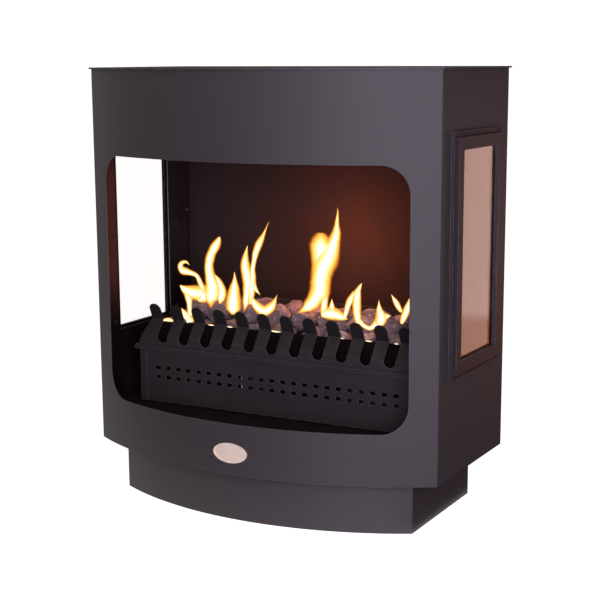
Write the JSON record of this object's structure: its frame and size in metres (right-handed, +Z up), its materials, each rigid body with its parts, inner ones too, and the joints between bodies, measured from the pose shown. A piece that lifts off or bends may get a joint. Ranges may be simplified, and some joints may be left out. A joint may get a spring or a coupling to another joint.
{
  "type": "freestanding gas fireplace",
  "caption": "Bow-fronted black steel gas fireplace on a narrower plinth, open at the front, with glazed side windows, a perforated burner box, comb fender and ceramic coal bed.",
  "frame": {"origin": "middle of the whole part's footprint, on the floor", "axes": "+Z up; -Y towards the room, out of the bowed front; +X to the right seen from the front"},
  "size_m": [0.723, 0.414, 0.798],
  "materials": {
    "casing_paint": "fine textured matt black stove paint",
    "window_paint": "matt black stove paint, smooth",
    "firebox_paint": "dark grey high-temperature paint",
    "grate_paint": "satin black high-temperature paint",
    "badge_metal": "brushed plate with a bright raised rim",
    "coal_ceramic": "charcoal grey ceramic fibre, rough",
    "grid_iron": "dark heat-stained iron",
    "pane_glass": "clear ceramic glass",
    "seal_tape": "woven glass fibre tape",
    "plated_steel": "zinc plated",
    "burner_steel": "stainless, heat tinted",
    "valve_brass": "machined",
    "pipe_copper": "drawn copper tube",
    "knob_plastic": "moulded black",
    "button_plastic": "moulded dark red",
    "electrode_ceramic": "glazed white sleeve, bare wire tip",
    "lead_sleeve": "silicone sleeve",
    "grommet_rubber": "black"
  },
  "bodies": {
    "casing": {"badge_plate": "badge_metal", "badge_studs": "plated_steel", "baffle_brackets": "firebox_paint", "base_panel": "casing_paint", "burner_box_end_left": "grate_paint", "burner_box_end_right": "grate_paint", "burner_box_front": "grate_paint", "burner_box_tray": "grate_paint", "burner_manifold": "burner_steel", "burner_saddles": "plated_steel", "burner_tubes": "burner_steel", "coal_grid": "grid_iron", "coal_guard": "grate_paint", "coals_lower": "coal_ceramic", "coals_upper": "coal_ceramic", "control_bracket": "firebox_paint", "control_nuts": "plated_steel", "fender_comb": "grate_paint", "firebox_floor": "firebox_paint", "front_coal_guard": "grate_paint", "front_panel": "casing_paint", "grate_feet": "grate_paint", "heat_baffle": "firebox_paint", "igniter_body": "knob_plastic", "ignition_lead": "lead_sleeve", "injector": "valve_brass", "inlet_pipe": "pipe_copper", "inlet_union": "valve_brass", "mixing_tube": "burner_steel", "pilot_bracket": "plated_steel", "pilot_burner": "burner_steel", "pipe_grommets": "grommet_rubber", "plinth_bolts": "plated_steel", "plinth_foot_ring": "casing_paint", "plinth_rear": "casing_paint", "plinth_skirt": "casing_paint", "plinth_top_ring": "casing_paint", "rear_panel": "casing_paint", "rear_screws": "plated_steel", "side_angles": "casing_paint", "side_panel_left": "casing_paint", "side_panel_right": "casing_paint", "spark_electrode": "electrode_ceramic", "tap_body": "valve_brass", "thermocouple": "pipe_copper", "top_plate": "casing_paint", "tray_rim": "grate_paint", "window_gaskets": "seal_tape", "window_glass_left": "pane_glass", "window_glass_right": "pane_glass", "window_retainer_left": "window_paint", "window_retainer_right": "window_paint", "window_screws": "window_paint", "window_trim_left": "window_paint", "window_trim_right": "window_paint"},
    "tap_plug": {"tap_plug": "valve_brass"},
    "knob": {"tap_spindle": "plated_steel", "control_knob": "knob_plastic", "knob_spring": "plated_steel"},
    "button": {"igniter_button": "button_plastic"}
  },
  "joints": [
    {"name": "tap_turn", "type": "hinge", "parent": "casing", "child": "tap_plug", "pos_m": [0.319, -0.02, 0.203], "axis": [0, -1, 0], "range_deg": [0, 180]},
    {"name": "knob_push", "type": "slide", "parent": "tap_plug", "child": "knob", "axis": [0, 1, 0], "range_m": [0, 0.004], "stiffness_N_per_m": 600, "deforming": ["knob_spring"]},
    {"name": "igniter_push", "type": "slide", "parent": "casing", "child": "button", "axis": [0, 1, 0], "range_m": [0, 0.006], "stiffness_N_per_m": 800}
  ]
}
